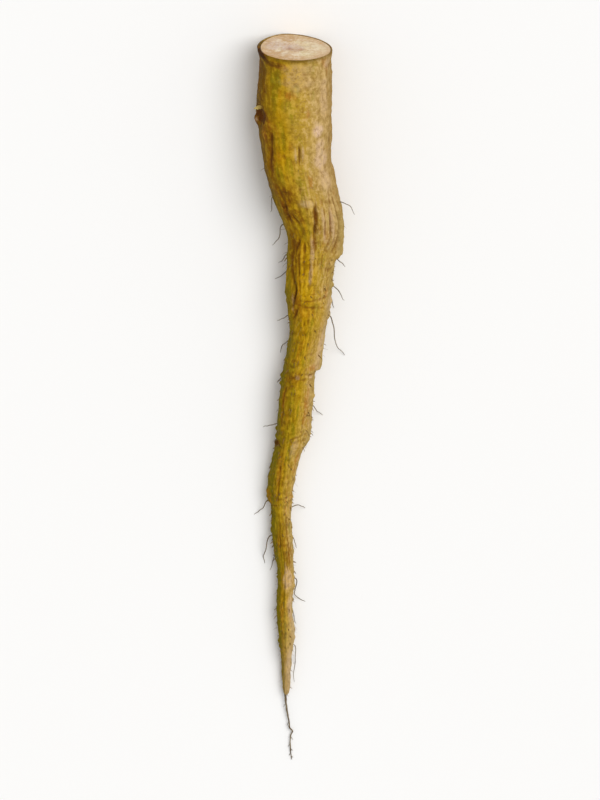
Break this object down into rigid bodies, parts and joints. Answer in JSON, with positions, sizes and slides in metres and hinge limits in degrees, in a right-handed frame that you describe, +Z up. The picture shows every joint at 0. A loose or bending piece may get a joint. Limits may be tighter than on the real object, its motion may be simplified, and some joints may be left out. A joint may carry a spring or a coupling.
{
  "type": "salsify root",
  "caption": "Long, slender, crooked taproot with a flat cut crown and a thread-like tip, lying on its side as a root vegetable.",
  "frame": {"origin": "under the middle of the root's box, on the surface that it lies on", "axes": "+Y along the root towards the cut crown, +X to the side that the upper shoulder swells to, +Z up from the surface"},
  "size_m": [0.0242, 0.214, 0.0205],
  "materials": {
    "root_skin": "matte, rough, ochre bark with brown furrows",
    "cut_flesh": "moist pale cream cut flesh with a faint ring",
    "rootlet": "matte brown fibres"
  },
  "bodies": {
    "root": {"salsify_root": "root_skin"}
  },
  "joints": []
}
